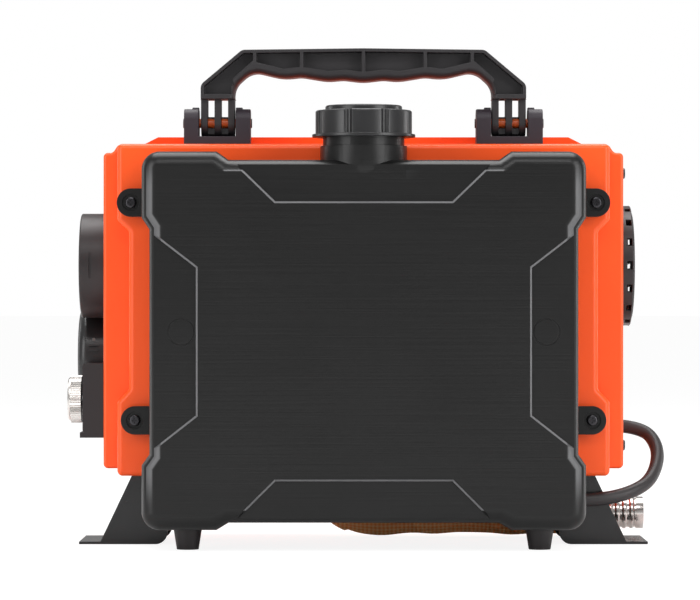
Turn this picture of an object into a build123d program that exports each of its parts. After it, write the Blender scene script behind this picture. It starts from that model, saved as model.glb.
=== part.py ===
from build123d import *
import math
import os

os.makedirs("parts", exist_ok=True)

# Portable diesel air heater, millimetres. X runs to the right seen from the tank side, Y from the tank
# to the front of the case, Z up. Every outline below is the right half, from the top to the bottom.

# Case
case_floor_z = 51.5
case_height = 246.4
case_top_z = case_floor_z + case_height
case_half_width = 194.0
case_shoulder_inset = 11.0
case_shoulder_drop = 6.0
case_shoulder_step = 4.0
case_foot_inset = 19.0
case_foot_rise = 4.8
case_foot_step = 5.0
case_corner = 3.5
case_wall = 3.0
case_edge_round = 5.0
case_rim_round = 2.4
ridge_half = 155.0
ridge_rise = 7.1
ridge_slope = 20.0
ridge_setback = 37.0
rear_inset = 11.3
rear_waist_inset = 8.7
rear_waist_top = (189.8, 181.1)
rear_waist_bottom = (64.1, 54.9)
rear_depth = 18.0
rear_corner = 4.0
rear_edge_round = 4.0
front_depth = 137.0
lip_depth = 3.0
gasket_inset = 0.6
gasket_width = 1.8
gasket_depth = 1.5
shell_post_radius = 6.0
shell_posts = ((32.7, 14.5), (42.7, 231.5))
shell_screw_radius = 2.0
shell_screw_grip = 16.0
panel_half = 150.0
panel_margin_z = 30.0
panel_depth = 4.0
panel_ribs = 9
panel_rib_width = 8.0
screw_play = 0.1
fit_play = 0.1

# Fuel tank
tank_depth = 78.0
tank_pad = 2.0
tank_foot_height = 15.7
tank_height = 273.6
tank_half_width = 160.6
tank_waist_half = 155.0
tank_waist_high = (225.8, 217.3)
tank_waist_low = (54.8, 46.8)
tank_notch_half = (106.5, 97.8)
tank_notch_drop = 6.1
tank_low_notch = 5.3
tank_corner = 13.0
tank_edge = 11.0
tank_wall = 3.5
recess_depth = 3.0
recess_slope = 30.0
recess_reach = 20.0
top_field_tip = (64.5, 31.7)
low_field_tip = (64.5, 37.2)
low_field_base = (97.0, 4.7)
side_field_x = 119.5
side_field_heights = (190.3, 82.3)
side_field_flare = 15.8
emboss_radius = 9.9
emboss_width = 0.9
emboss_depth = 0.6
emboss_x = 131.6
emboss_height = 143.3
lug_radius = 10.5
lug_thickness = 6.0
lug_root = 8.0
lug_play = 0.2
lug_places = ((10.7, 238.3), (13.7, 77.3))
lug_seat_radius = 6.2
lug_seat_depth = 1.4
tank_screw_radius = 2.5
tank_screw_head = 4.2
tank_screw_head_height = 3.0
tank_screw_cross = (4.2, 1.1)
tank_screw_cross_depth = 1.8
tank_screw_length = 12.0
foot_x = 128.5
foot_depth = 40.0
foot_top_radius = 10.5
foot_bottom_radius = 8.0

# Filler neck and cap
neck_depth = 33.0
neck_root = (3.0, 11.0)
neck_collar_radius = 31.65
neck_radius = 29.75
neck_bore = 26.0
neck_collar_top = 10.8
neck_height = 34.4
cap_gap = 0.6
cap_flange_radius = 37.6
cap_flange_height = 2.2
cap_flange_lift = 17.2
cap_radius = 35.15
cap_grip_height = 17.4
cap_disc_radius = 28.0
cap_disc_height = 3.6
cap_notches = 8
cap_notch_radius = 2.8
cap_rest_turn = 3.4
gasket_thick = 1.6

# Carry handle and its brackets
handle_plane = 108.0
pivot_rise = 16.3
handle_depth = 28.0
handle_rise = 55.4
handle_shoulder = (90.4, 54.3)
handle_elbow = (121.3, 28.4)
handle_leg_inner = 95.9
handle_leg_bottom = 17.6
handle_bar = 3.7
handle_underside = ((82.6, 38.4), (59.4, 32.8), (45.9, 34.3), (26.6, 31.1), (14.6, 32.2), (0.0, 30.4))
handle_inner_elbow = 26.5
handle_round = 6.0
handle_grip_round = 5.0
handle_wave_rounds = (14.0, 40.0, 22.0, 40.0, 22.0, 40.0)
handle_inner_round = 14.0
handle_rim = 2.6
handle_lip = 6.0
handle_pocket = 10.0
handle_ribs = (0.0, 46.0, 81.0)
handle_rib_width = 2.5
tine_width = 5.0
tine_places = (98.5, 108.6, 118.7)
tine_gap = 0.3
tine_web = 2.4
tine_web_gap = 1.4
tine_web_rise = 5.0
pin_radius = 3.5
pin_play = 0.07
pin_end = 1.0
ear_play = 0.05
bracket_inner = 84.3
bracket_outer = 133.8
ear_width = 11.0
ear_rise = 10.4
ear_round = 8.0
ear_step = (5.0, 8.0, 1.3)
bracket_floor = 6.2
bracket_depth = 26.0
bracket_screw_radius = 2.0
bracket_screw_head = 3.6
bracket_screw_pitch = 12.0
bracket_screw_length = 14.0
bracket_screw_sink = 3.0
bracket_screw_head_height = 2.8

# Legs
leg_sheet = 2.0
leg_start = 95.0
leg_length = 75.0
leg_top_half = 172.5
leg_toe_half = 196.0
leg_foot_length = 16.0
leg_inner_half = 146.0
leg_flange_half = 130.0
leg_round = 9.0
leg_screw_x = 140.0
leg_screw_inset = 20.0
leg_screw_radius = 2.2
leg_screw_head = 4.5
leg_screw_length = 7.0
leg_screw_head_height = 2.6

# Warm-air path
axis_depth = 149.5
axis_height = 156.5
collar_radius = 39.5
collar_reach = 19.5
collar_bore = 36.0
collar_notch_reach = 11.0
collar_notch_rise = 2.0
collar_notch_size = (2.0, 24.0)
collar_notch_depth = 1.2
duct_radius = 38.0
duct_play = 0.2
guard_bars = 4
guard_wire = 1.2
guard_setback = 40.0
grille_radius = 45.5
grille_rim = 8.3
grille_dome = 1.2
grille_wall = 2.5
grille_slots = 16
grille_slot_width = 6.0
grille_slot_length = 3.7
grille_slot_start = 3.4
grille_step = 5.0
grille_round = 0.9
grille_gap = 4.0
grille_pitch = 9.0
intake_bore = 40.0

# Heater unit
heater_left = 150.0
heater_right = 168.0
heater_half_width = 60.0
heater_half_height = 62.0
heater_wall = 2.5
shaft_radius = 4.0
shaft_play = 0.05
fan_press = 0.02
shaft_start = 10.0
shaft_end = 158.0
exchanger_end = 130.0
exchanger_radius = 38.0
exchanger_bore = 34.0
fin_count = 12
fin_radius = 53.0
fin_thick = 2.5
burner_face = 10.0
burner_radius = 24.0
burner_length = 90.0
burner_wall = 1.5
burner_flange = 4.0
blower_length = 65.0
blower_radius = 44.0
blower_wall = 4.0
air_stub_x = 25.0
air_stub_radius = 10.0
air_boss_radius = 13.0
air_stub_play = 0.4
air_filter_radius = 17.0
air_filter_height = 20.0
air_filter_clearance = 5.5
burner_fan_radius = 34.0
burner_fan_start = 14.0
burner_fan_width = 16.0
motor_radius = 27.0
motor_length = 63.0
main_fan_start = 128.0
main_fan_hub = 15.0
main_fan_width = 26.0
main_fan_radius = 50.0
main_fan_blades = 7
seal_radius = 47.0
seal_bore = 43.0
plug_x = 30.0
plug_radius = 5.0
cradle_half = 120.0
cradle_sheet = 2.5
cradle_foot = 10.0
control_unit_size = (44.0, 70.0, 28.0)
control_unit_place = (-85.0, 35.0)
sensor_radius = 8.0
sensor_height = 5.0

# Exhaust
exhaust_x = 24.0
exhaust_depth = 188.5
exhaust_height = 18.4
exhaust_bend = 25.0
exhaust_reach = 215.2
exhaust_radius = 12.3
exhaust_root = 11.2
exhaust_bore = 10.3
exhaust_rib_pitch = 5.5
exhaust_ribs = 9
exhaust_band = 5.5
riser_radius = 10.0
riser_bend = 22.0
riser_play = 0.8
sleeve_radius = 16.7
sleeve_bore = 12.7
sleeve_end = 165.0
clamp_width = 5.0
clamp_thick = 1.6
clamp_play = 0.05

# Fuel line, pump and hose
hose_radius = 5.0
hose_bore = 3.2
spigot_radius = 3.1
hose_y = 32.0
hose_z = 87.0
hose_start_inset = 14.0
hose_bends = ((211.0, 32.0, 87.0), (224.0, 16.0, 70.0), (217.0, -8.0, 48.0), (199.0, -24.0, 38.0))
hose_low_x = 172.0
hose_end_x = 144.0
hose_end_z = 33.0
elbow_lift = 8.0
elbow_flange = 8.0
grommet_radius = 8.0
clip_thick = 1.2
clip_width = 6.0
filter_radius = 9.0
filter_inset = 46.0
filter_length = 28.0
spigot_length = 12.0
pump_radius = 13.5
pump_left = 60.0
pump_length = 60.0
delivery_radius = 2.5
delivery_bend = 10.0
delivery_x = 41.0
mount_width = 20.0
mount_side = 3.5

# Controls on the left side
box_start = 104.0
box_depth = 36.0
box_reach = 16.0
box_bottom = 31.5
box_height = 51.5
box_wall = 2.0
box_lip = 4.0
box_lip_reach = 2.0
knob_depth = 122.0
knob_height = 56.0
knob_radius = 17.8
knob_groove = 0.6
knob_grooves = 60
knob_gap = 1.5
knob_length = 10.0
knob_cap = 2.0
knob_cap_radius = 16.4
knob_press = 0.02
encoder_size = 12.0
encoder_length = 5.0
encoder_shaft_radius = 3.0
encoder_play = 0.05
encoder_hole_play = 0.6
board_thick = 1.6
pod_depth = 191.5
pod_height = 86.5
pod_radius = 39.5
pod_reach = 23.5
pod_round = 7.0
lens_radius = 27.0
lens_thick = 1.6
lamp_radius = 1.2
lamp_reach = 11.0
lamp_rise = 14.0
lamp_play = 0.05
pod_rib_rises = (9.5, 5.5, 1.5)
harness_radius = 3.0
harness_play = 0.5
harness_place = (22.0, 12.0)
harness_bend = 10.0
socket_x = 150.0
socket_height = 45.0
socket_radius = 12.0
socket_length = 14.0
socket_recess = 8.0
side_screw_depth = 117.5
side_screw_heights = (21.5, 225.5)
side_screw_head = 4.0
side_screw_radius = 2.0
side_screw_length = 9.0
side_screw_height = 2.5

# Places along Y, worked out from the depths
overall_depth = tank_depth + tank_pad + rear_depth + front_depth
tank_front_y = -overall_depth / 2
tank_back_y = tank_front_y + tank_depth
rear_face_y = tank_back_y + tank_pad
split_y = rear_face_y + rear_depth
front_face_y = split_y + front_depth
ridge_y = split_y + ridge_setback
handle_y = tank_front_y + handle_plane
axis_y = tank_front_y + axis_depth
exhaust_y = tank_front_y + exhaust_depth
leg_y = tank_front_y + leg_start
neck_y = tank_front_y + neck_depth
foot_y = tank_front_y + foot_depth
tine_half_depth = pivot_rise - bracket_floor - tine_gap
box_y = tank_front_y + box_start
knob_y = tank_front_y + knob_depth
pod_y = tank_front_y + pod_depth

# Half widths, worked in from the case's sides
case_shoulder_half = case_half_width - case_shoulder_inset
case_foot_half = case_half_width - case_foot_inset
rear_half_width = case_half_width - rear_inset
rear_waist_half = rear_half_width - rear_waist_inset
leg_foot_half = leg_toe_half + leg_foot_length
lamp_x = case_half_width + lamp_reach
hose_start_x = case_half_width - hose_start_inset
filter_left = case_half_width - filter_inset

# Heights, worked out from the floor
tank_bottom_z = tank_foot_height
tank_top_z = tank_bottom_z + tank_height
axis_z = case_floor_z + axis_height
pivot_z = case_top_z + pivot_rise
inner_floor_z = case_floor_z + case_wall
heater_floor_z = axis_z - heater_half_height
knob_z = case_floor_z + knob_height
pod_z = case_floor_z + pod_height
deck_z = tank_top_z - tank_notch_drop
box_z = case_floor_z + box_bottom


def facing(y):
    """The upright plane at y, drawn as seen from the tank side; a negative length goes towards the front."""
    return Plane.XZ.offset(-y)


def side(x):
    """The upright plane at x; its own axes are Y and Z, and a positive length goes to the right."""
    return Plane.YZ.offset(x)


def level(z):
    """The level plane at z; a positive length goes up."""
    return Plane.XY.offset(z)


def whole(half):
    """A closed outline from its right half, where points on the middle line are kept once."""
    return list(half) + [(-x, z) for x, z in reversed(half) if x > 0]


def disc(plane, places, radius, length, bore=0.0, mode=Mode.ADD):
    """Round bars, tubes or holes, one at each place of the plane."""
    with BuildSketch(plane) as profile:
        with Locations(*places):
            Circle(radius)
            if bore:
                Circle(bore, mode=Mode.SUBTRACT)
    extrude(profile.sketch, amount=length, mode=mode)


def slab(plane, places, size, length, mode=Mode.ADD):
    """Rectangular bars or holes, one at each place of the plane."""
    with BuildSketch(plane) as profile:
        with Locations(*places):
            Rectangle(*size)
    extrude(profile.sketch, amount=length, mode=mode)


def panel(plane, points, length, corner=0.0, inset=0.0, taper=0.0, mode=Mode.ADD):
    """A prism on an outline, drawn in by inset, with its corners rounded."""
    with BuildSketch(plane) as profile:
        with BuildLine():
            Polyline(*points, close=True)
        make_face()
        if inset:
            offset(amount=-inset, kind=Kind.INTERSECTION)
        if corner:
            fillet(profile.vertices(), corner)
    extrude(profile.sketch, amount=length, taper=taper, mode=mode)


def tube(route, corner, radius, bore):
    """A round tube along a route of straight runs and tangent arcs."""
    with BuildLine() as path:
        FilletPolyline(*route, radius=corner)
    wire = path.wires()[0]
    with BuildSketch(Plane(origin=wire @ 0, z_dir=wire % 0)) as ring:
        Circle(radius)
        if bore:
            Circle(bore, mode=Mode.SUBTRACT)
    sweep(ring.sketch, path=wire)
    return wire.length


def both(places):
    """The same places on the left and on the right."""
    return [(sign * x, z) for sign in (-1, 1) for x, z in places]


case_half = [
    (case_shoulder_half, case_top_z),
    (case_shoulder_half + case_shoulder_step, case_top_z - case_shoulder_drop),
    (case_half_width, case_top_z - case_shoulder_drop),
    (case_half_width, case_floor_z + case_foot_rise),
    (case_foot_half + case_foot_step, case_floor_z + case_foot_rise),
    (case_foot_half, case_floor_z),
]
rear_half = [
    (rear_half_width, case_top_z),
    (rear_half_width, case_floor_z + rear_waist_top[0]),
    (rear_waist_half, case_floor_z + rear_waist_top[1]),
    (rear_waist_half, case_floor_z + rear_waist_bottom[0]),
    (rear_half_width, case_floor_z + rear_waist_bottom[1]),
    (rear_half_width, case_floor_z),
]
ridge_half_line = [
    (ridge_half, case_top_z + ridge_rise),
    (ridge_half + ridge_slope, case_top_z - case_wall),
]
case_outline = whole(case_half)
rear_outline = whole(rear_half)
ridge_outline = whole(ridge_half_line)
post_places = both([(rear_half_width - x, case_floor_z + z) for x, z in shell_posts])
lug_spots = both([(rear_half_width - x, tank_bottom_z + z) for x, z in lug_places])
bracket_mid = (bracket_inner + bracket_outer) / 2
bracket_screw_x = (bracket_mid - bracket_screw_pitch / 2, bracket_mid + bracket_screw_pitch / 2)
bracket_screw_places = [(s * x, handle_y) for s in (-1, 1) for x in bracket_screw_x]
leg_screw_y = (leg_y + leg_screw_inset, leg_y + leg_length - leg_screw_inset)
leg_screw_places = [(s * leg_screw_x, y) for s in (-1, 1) for y in leg_screw_y]
side_screw_y = tank_front_y + side_screw_depth
side_screw_places = [(side_screw_y, case_floor_z + z) for z in side_screw_heights]
harness_z = box_z + harness_place[1]
harness_y = box_y + harness_place[0]
socket_z = case_floor_z + socket_height
neck_top_z = deck_z + neck_height
cap_ceiling_z = neck_top_z + gasket_thick
cap_foot_z = deck_z + cap_flange_lift
board_x = -case_half_width - box_reach + box_wall + encoder_length + board_thick
deck_under_z = heater_floor_z - cradle_sheet

# Case: the deep front shell carries everything; the shallow rear shell closes it
with BuildPart() as front_shell:
    panel(facing(split_y), case_outline, -front_depth, case_corner)
    panel(facing(ridge_y), ridge_outline, ridge_y - front_face_y)
    fillet(front_shell.faces().sort_by(Axis.Y)[-1].edges(), case_edge_round)
    fillet(front_shell.faces().sort_by(Axis.Y)[0].edges(), case_rim_round)
    hollow = front_depth - lip_depth - case_wall - panel_depth
    panel(facing(split_y + lip_depth), case_outline, -hollow, inset=case_wall, mode=Mode.SUBTRACT)
    panel(facing(split_y), rear_outline, -lip_depth, inset=case_wall, mode=Mode.SUBTRACT)
    disc(facing(split_y), post_places, shell_post_radius, split_y - front_face_y + case_wall + 1)
    post_bore = shell_screw_radius + screw_play
    disc(facing(split_y), post_places, post_bore, -shell_screw_grip, mode=Mode.SUBTRACT)
    with BuildSketch(facing(split_y)) as groove:
        with BuildLine():
            Polyline(*rear_outline, close=True)
        make_face()
        offset(amount=-gasket_inset, kind=Kind.INTERSECTION)
        offset(groove.sketch, amount=-gasket_width, kind=Kind.INTERSECTION, mode=Mode.SUBTRACT)
    extrude(groove.sketch, amount=-gasket_depth, mode=Mode.SUBTRACT)
    # the front face has a sunk field with level ribs
    field_height = case_height - 2 * panel_margin_z
    field_z = case_floor_z + case_height / 2
    field_plane = facing(front_face_y)
    slab(field_plane, [(0, field_z)], (2 * panel_half, field_height), panel_depth, mode=Mode.SUBTRACT)
    rib_pitch = field_height / panel_ribs
    rib_places = [(0, field_z + (i - (panel_ribs - 1) / 2) * rib_pitch) for i in range(panel_ribs)]
    slab(field_plane, rib_places, (2 * panel_half, panel_rib_width), panel_depth)
    # ports: warm air, intake, exhaust, combustion air, hose, harness, power socket and screws
    left_wall = side(-case_half_width)
    right_wall = side(case_half_width - case_wall)
    floor_plane = level(case_floor_z)
    disc(left_wall, [(axis_y, axis_z)], duct_radius + duct_play, case_wall, mode=Mode.SUBTRACT)
    disc(left_wall, [(harness_y, harness_z)], harness_radius + harness_play, case_wall, mode=Mode.SUBTRACT)
    disc(right_wall, [(axis_y, axis_z)], intake_bore, case_wall, mode=Mode.SUBTRACT)
    disc(right_wall, [(hose_y, hose_z)], grommet_radius - 1.5, case_wall, mode=Mode.SUBTRACT)
    disc(right_wall, side_screw_places, side_screw_radius + screw_play, case_wall, mode=Mode.SUBTRACT)
    disc(floor_plane, [(-exhaust_x, exhaust_y)], riser_radius + riser_play, case_wall, mode=Mode.SUBTRACT)
    disc(floor_plane, [(air_stub_x, axis_y)], air_stub_radius + air_stub_play, case_wall, mode=Mode.SUBTRACT)
    disc(floor_plane, leg_screw_places, leg_screw_radius + screw_play, case_wall, mode=Mode.SUBTRACT)
    top_plane = level(case_top_z - case_wall)
    disc(top_plane, bracket_screw_places, bracket_screw_radius + screw_play, case_wall, mode=Mode.SUBTRACT)
    wall_depth = case_wall + panel_depth + 1
    disc(field_plane, [(-socket_x, socket_z)], socket_radius + fit_play, wall_depth, mode=Mode.SUBTRACT)

with BuildPart() as rear_shell:
    panel(facing(rear_face_y), rear_outline, -rear_depth, rear_corner)
    fillet(rear_shell.faces().sort_by(Axis.Y)[0].edges(), rear_edge_round)
    inner_plane = facing(rear_face_y + case_wall)
    panel(inner_plane, rear_outline, case_wall - rear_depth, inset=case_wall, mode=Mode.SUBTRACT)
    disc(facing(rear_face_y), lug_spots, lug_radius - 3, tank_pad)
    pad_depth = tank_screw_length - lug_thickness + lug_seat_depth + 2
    disc(facing(tank_back_y), lug_spots, tank_screw_radius + 2.5, -pad_depth)
    disc(facing(tank_back_y), lug_spots, tank_screw_radius + screw_play, -pad_depth + 1, mode=Mode.SUBTRACT)
    disc(facing(rear_face_y + case_wall), post_places, shell_post_radius, case_wall - rear_depth)
    disc(facing(rear_face_y), post_places, post_bore, -rear_depth, mode=Mode.SUBTRACT)

with BuildPart() as shell_gasket:
    extrude(groove.sketch, amount=-gasket_depth)

with BuildPart() as shell_screws:
    disc(facing(rear_face_y), post_places, shell_screw_radius + 1.6, tank_pad - 0.3)
    disc(facing(rear_face_y), post_places, shell_screw_radius, 2 - rear_depth - shell_screw_grip)

# Fuel tank: a blow-moulded can whose face is a raised cross between four sunk fields
tank_half = [
    (tank_notch_half[1], deck_z),
    (tank_notch_half[0], tank_top_z),
    (tank_half_width, tank_top_z),
    (tank_half_width, tank_bottom_z + tank_waist_high[0]),
    (tank_waist_half, tank_bottom_z + tank_waist_high[1]),
    (tank_waist_half, tank_bottom_z + tank_waist_low[0]),
    (tank_half_width, tank_bottom_z + tank_waist_low[1]),
    (tank_half_width, tank_bottom_z),
    (tank_notch_half[0], tank_bottom_z),
    (tank_notch_half[1], tank_bottom_z + tank_low_notch),
]
tank_outline = whole(tank_half)
top_corner = (tank_notch_half[1] + recess_reach, deck_z + recess_reach)
low_corner = (low_field_base[0] + recess_reach, tank_bottom_z + low_field_base[1] - recess_reach)
top_field = whole([top_corner, (top_field_tip[0], deck_z - top_field_tip[1])])
low_field = whole([(low_field_tip[0], tank_bottom_z + low_field_tip[1]), low_corner])
side_field = [
    (tank_waist_half + recess_reach, tank_bottom_z + tank_waist_high[1] + side_field_flare),
    (side_field_x, tank_bottom_z + side_field_heights[0]),
    (side_field_x, tank_bottom_z + side_field_heights[1]),
    (tank_waist_half + recess_reach, tank_bottom_z + tank_waist_low[0] - side_field_flare),
]
left_field = [(-x, z) for x, z in side_field]

with BuildPart() as fuel_tank:
    with BuildSketch(facing(tank_front_y)) as can:
        with BuildLine():
            Polyline(*tank_outline, close=True)
        make_face()
        # only the four outer corners are round; the steps between them are crisp
        outer = [v for v in can.vertices() if abs(v.X) > tank_half_width - 1]
        outer = [v for v in outer if not tank_bottom_z + 1 < v.Y < tank_top_z - 1]
        fillet(outer, tank_corner)
    extrude(can.sketch, amount=-tank_depth)
    fillet(fuel_tank.faces().sort_by(Axis.Y)[0].edges(), tank_edge)
    fillet(fuel_tank.faces().sort_by(Axis.Y)[-1].edges(), tank_edge)
    for field in (top_field, low_field, side_field, left_field):
        panel(facing(tank_front_y), field, -recess_depth, taper=recess_slope, mode=Mode.SUBTRACT)
    emboss_places = both([(emboss_x, tank_bottom_z + emboss_height)])
    emboss_plane = facing(tank_front_y + recess_depth)
    emboss_bore = emboss_radius - emboss_width
    disc(emboss_plane, emboss_places, emboss_radius, -emboss_depth, emboss_bore, Mode.SUBTRACT)
    # the neck runs down into the face: straight at first, then drawn in
    neck_bottom_z = deck_z - neck_root[0]
    disc(level(neck_bottom_z), [(0, neck_y)], neck_collar_radius, neck_root[0] + neck_collar_top)
    with Locations((0, neck_y, deck_z - sum(neck_root) / 2)):
        Cone(neck_depth - recess_depth, neck_collar_radius, neck_root[1] - neck_root[0])
    disc(level(deck_z), [(0, neck_y)], neck_radius, neck_height)
    lug_plane = facing(tank_back_y)
    disc(lug_plane, lug_spots, lug_radius, lug_thickness)
    for x, z in lug_spots:
        root_x = math.copysign(tank_waist_half - lug_root, x)
        middle = ((x + root_x) / 2, z)
        slab(lug_plane, [middle], (abs(x - root_x), 2 * lug_radius), lug_thickness)
    disc(lug_plane, lug_spots, tank_screw_radius + lug_play, lug_thickness, mode=Mode.SUBTRACT)
    seat_plane = facing(tank_back_y - lug_thickness + lug_seat_depth)
    disc(seat_plane, lug_spots, lug_seat_radius, lug_seat_depth, mode=Mode.SUBTRACT)
    with BuildPart(mode=Mode.PRIVATE) as cavity:
        cavity_plane = facing(tank_front_y + recess_depth + tank_wall)
        cavity_depth = tank_depth - recess_depth - 2 * tank_wall
        panel(cavity_plane, tank_outline, -cavity_depth, tank_corner - tank_wall, inset=tank_wall)
        fillet(cavity.faces().sort_by(Axis.Y)[-1].edges(), tank_edge - tank_wall)
        fillet(cavity.faces().sort_by(Axis.Y)[0].edges(), tank_wall)
    add(cavity.part, mode=Mode.SUBTRACT)
    mouth_plane = level(deck_z - 3 * tank_wall)
    disc(mouth_plane, [(0, neck_y)], neck_bore, 3 * tank_wall + neck_height, mode=Mode.SUBTRACT)
    outlet_place = [(hose_end_x - 6, hose_end_z)]
    disc(lug_plane, outlet_place, spigot_radius, tank_wall + 1, mode=Mode.SUBTRACT)

with BuildPart() as tank_feet:
    for x in (-foot_x, foot_x):
        with Locations((x, foot_y, tank_foot_height / 2)):
            Cone(foot_bottom_radius, foot_top_radius, tank_foot_height)

with BuildPart() as tank_screws:
    disc(seat_plane, lug_spots, tank_screw_head, tank_screw_head_height)
    fillet(tank_screws.faces().sort_by(Axis.Y)[0:4].edges(), 1.6)
    disc(seat_plane, lug_spots, tank_screw_radius, -tank_screw_length)
    cross_y = tank_back_y - lug_thickness + lug_seat_depth - tank_screw_head_height
    for cross in (tank_screw_cross, tank_screw_cross[::-1]):
        slab(facing(cross_y), lug_spots, cross, -tank_screw_cross_depth, mode=Mode.SUBTRACT)

with BuildPart() as cap_gasket:
    disc(level(neck_top_z), [(0, neck_y)], neck_radius, gasket_thick, neck_bore - 1.5)

with BuildPart() as filler_cap:
    cap_place = [(0, neck_y)]
    cap_shoulder_z = cap_foot_z + cap_flange_height + cap_grip_height
    disc(level(cap_foot_z), cap_place, cap_flange_radius, cap_flange_height)
    disc(level(cap_foot_z), cap_place, cap_radius, cap_flange_height + cap_grip_height)
    fillet(filler_cap.faces().sort_by(Axis.Z)[-1].edges(), 1.6)
    with BuildSketch(level(cap_foot_z + cap_flange_height)) as notch:
        with Locations((0, neck_y)):
            first_notch = 180 / cap_notches + cap_rest_turn
            with PolarLocations(cap_radius + 0.6, cap_notches, start_angle=first_notch):
                Circle(cap_notch_radius)
    extrude(notch.sketch, amount=cap_grip_height, mode=Mode.SUBTRACT)
    disc(level(cap_shoulder_z), cap_place, cap_disc_radius, cap_disc_height)
    fillet(filler_cap.faces().sort_by(Axis.Z)[-1].edges(), 1.6)
    disc(level(cap_foot_z), cap_place, neck_radius + cap_gap, cap_ceiling_z - cap_foot_z, mode=Mode.SUBTRACT)

# Carry handle: a ribbed moulding on two pins, folding towards the front of the case
handle_half = [(0.0, pivot_z + handle_rise), (handle_shoulder[0], pivot_z + handle_shoulder[1])]
handle_half += [(handle_elbow[0], pivot_z + handle_elbow[1]), (handle_elbow[0], pivot_z + handle_leg_bottom)]
handle_half += [(handle_leg_inner, pivot_z + z) for z in (handle_leg_bottom, handle_inner_elbow)]
handle_half += [(x, pivot_z + z) for x, z in handle_underside]
handle_outline = whole(handle_half)
handle_near_y = handle_y - handle_depth / 2
elbow_z = pivot_z + handle_inner_elbow
shoulder_z = pivot_z + handle_shoulder[1]

with BuildPart() as handle:
    with BuildSketch(facing(handle_near_y)) as body:
        with BuildLine():
            Polyline(*handle_outline, close=True)
        make_face()
        high = body.vertices().filter_by_position(Axis.Y, pivot_z + handle_leg_bottom + 1, 1000)
        inner = [v for v in high if abs(v.X) < handle_leg_inner + 1]
        inner = [v for v in inner if v.Y < shoulder_z - 1]
        fillet([v for v in high if v not in inner], handle_round)
        corners = [(handle_leg_inner, handle_inner_round)]
        corners += [(x, wave) for (x, _), wave in zip(handle_underside, handle_wave_rounds)]
        for corner_x, corner_round in corners:
            inner = body.vertices().filter_by_position(Axis.Y, elbow_z - 1, shoulder_z - 1)
            fillet([v for v in inner if abs(abs(v.X) - corner_x) < 0.1], corner_round)
    extrude(body.sketch, amount=-handle_depth)
    under = handle.edges().filter_by(Axis.Y, reverse=True)
    under = under.filter_by_position(Axis.X, 1 - handle_leg_inner, handle_leg_inner - 1)
    under = under.filter_by_position(Axis.Z, pivot_z, pivot_z + handle_underside[0][1] + 1)
    fillet(under, handle_grip_round)
    with BuildSketch(facing(handle_near_y)) as pocket:
        with BuildLine():
            Polyline(*handle_outline, close=True)
        make_face()
        offset(amount=-handle_rim, kind=Kind.INTERSECTION)
        with BuildSketch(mode=Mode.INTERSECT):
            with BuildLine():
                leg_end_z = pivot_z + handle_leg_bottom + 1
                lifts = [handle_lip if z > leg_end_z else -handle_lip for _, z in handle_outline]
                Polyline(*[(x, z + lift) for (x, z), lift in zip(handle_outline, lifts)], close=True)
            make_face()
            offset(amount=-handle_rim / 2, kind=Kind.INTERSECTION)
        with Locations(*[(s * x, pivot_z + handle_rise / 2) for x in handle_ribs for s in (-1, 1)]):
            Rectangle(handle_rib_width, 2 * handle_rise, mode=Mode.SUBTRACT)
        bar_z = pivot_z + handle_leg_bottom + handle_bar
        with Locations((0, bar_z - handle_rise)):
            Rectangle(3 * handle_elbow[0], 2 * handle_rise, mode=Mode.SUBTRACT)
    extrude(pocket.sketch, amount=-handle_pocket, mode=Mode.SUBTRACT)
    far_pocket = pocket.sketch.moved(Location((0, handle_depth - handle_pocket, 0)))
    extrude(far_pocket, amount=-handle_pocket, mode=Mode.SUBTRACT)
    for x in [s * x for x in tine_places for s in (-1, 1)]:
        tine_plane = side(x - tine_width / 2)
        disc(tine_plane, [(handle_y, pivot_z)], tine_half_depth, tine_width)
        tine_middle = (handle_y, pivot_z + handle_leg_bottom / 2)
        slab(tine_plane, [tine_middle], (2 * tine_half_depth, handle_leg_bottom), tine_width)
    # a web behind and below the pin joins the tines
    web_near = pin_radius + pin_play + tine_web_gap
    web_foot = math.sqrt(tine_half_depth**2 - web_near**2)
    web_toe = math.sqrt(tine_half_depth**2 - tine_web**2)
    web_head = pin_radius + pin_play + tine_web_gap / 4
    web = [(-web_near, -web_foot), (-tine_web, -web_toe), (tine_web, -web_toe), (web_near, -web_foot)]
    web += [(web_near + tine_web, -web_head)]
    web += [(web_near + tine_web, tine_web_rise), (web_near, tine_web_rise), (web_near, -web_head)]
    web += [(-web_near, -web_head)]
    web_outline = [(handle_y + y, pivot_z + z) for y, z in web]
    for start in (-tine_places[-1], tine_places[0]):
        panel(side(start), web_outline, tine_places[-1] - tine_places[0])
    bore_radius = pin_radius + pin_play
    disc(side(-bracket_outer), [(handle_y, pivot_z)], bore_radius, 2 * bracket_outer, mode=Mode.SUBTRACT)


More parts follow.
